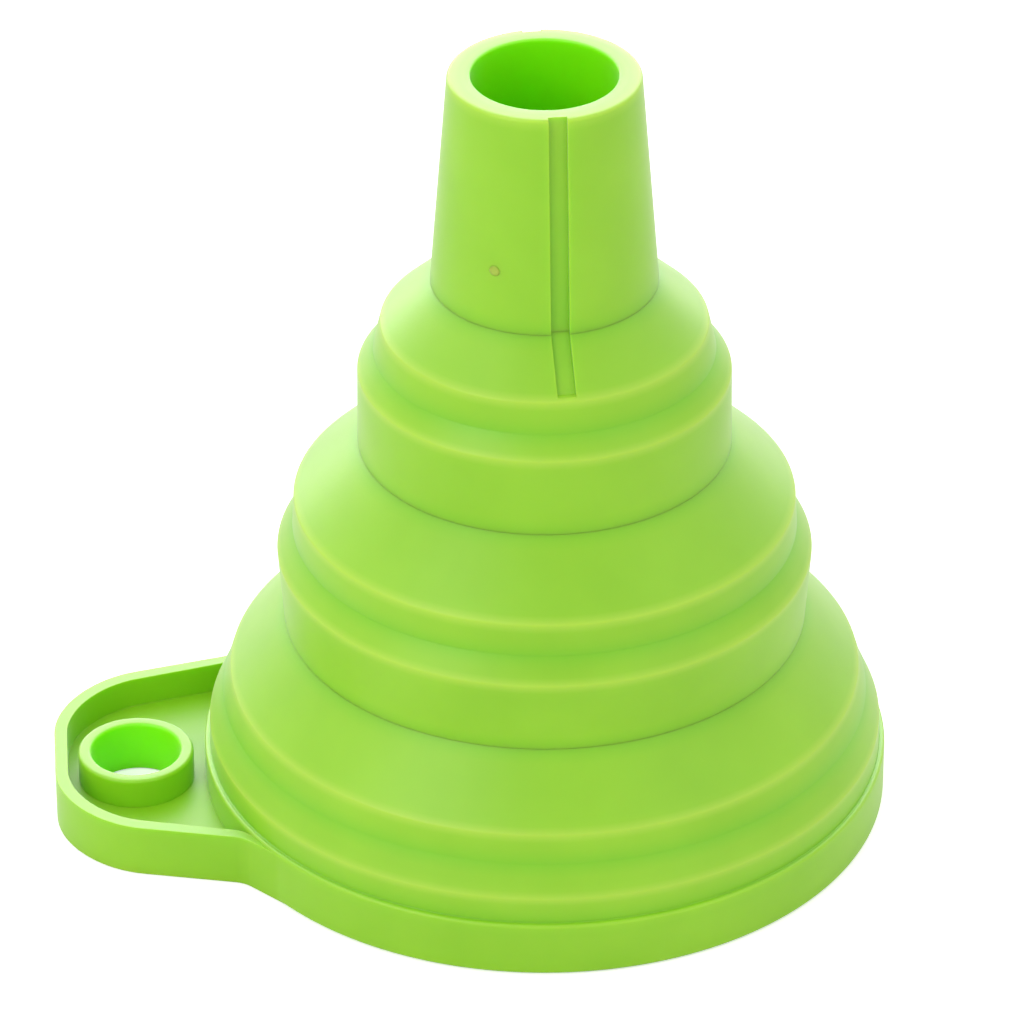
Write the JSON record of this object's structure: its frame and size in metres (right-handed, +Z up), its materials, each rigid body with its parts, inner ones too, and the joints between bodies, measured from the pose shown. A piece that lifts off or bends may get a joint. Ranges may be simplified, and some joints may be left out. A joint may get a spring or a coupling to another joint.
{
  "type": "collapsible funnel",
  "caption": "Collapsible silicone kitchen funnel with stepped folding tiers, a tapered vented spout and a hanging tab with an eyelet.",
  "frame": {"origin": "centre of the mouth, in the plane of the rim's foot that the funnel stands on", "axes": "+Z up the funnel's axis from the mouth to the spout's tip; the hanging tab points along -X; the vent grooves face -Y and +Y"},
  "size_m": [0.0915, 0.075, 0.0882],
  "materials": {
    "moulded_silicone": "satin"
  },
  "bodies": {
    "rim": {"mouth_rim": "moulded_silicone", "mouth_collar": "moulded_silicone", "lower_web": "moulded_silicone", "hang_tab": "moulded_silicone", "tab_border": "moulded_silicone", "tab_eyelet": "moulded_silicone"},
    "middle_tier": {"middle_band": "moulded_silicone", "middle_web": "moulded_silicone"},
    "upper_tier": {"upper_band": "moulded_silicone", "upper_web": "moulded_silicone"},
    "spout": {"spout": "moulded_silicone"}
  },
  "joints": [
    {"name": "lower_fold", "type": "slide", "parent": "rim", "child": "middle_tier", "axis": [0, 0, -1], "range_m": [0, 0.02], "deforming": ["lower_web"]},
    {"name": "middle_fold", "type": "slide", "parent": "middle_tier", "child": "upper_tier", "axis": [0, 0, -1], "range_m": [0, 0.0215], "deforming": ["middle_web"]},
    {"name": "upper_fold", "type": "slide", "parent": "upper_tier", "child": "spout", "axis": [0, 0, -1], "range_m": [0, 0.017], "deforming": ["upper_web"]}
  ]
}
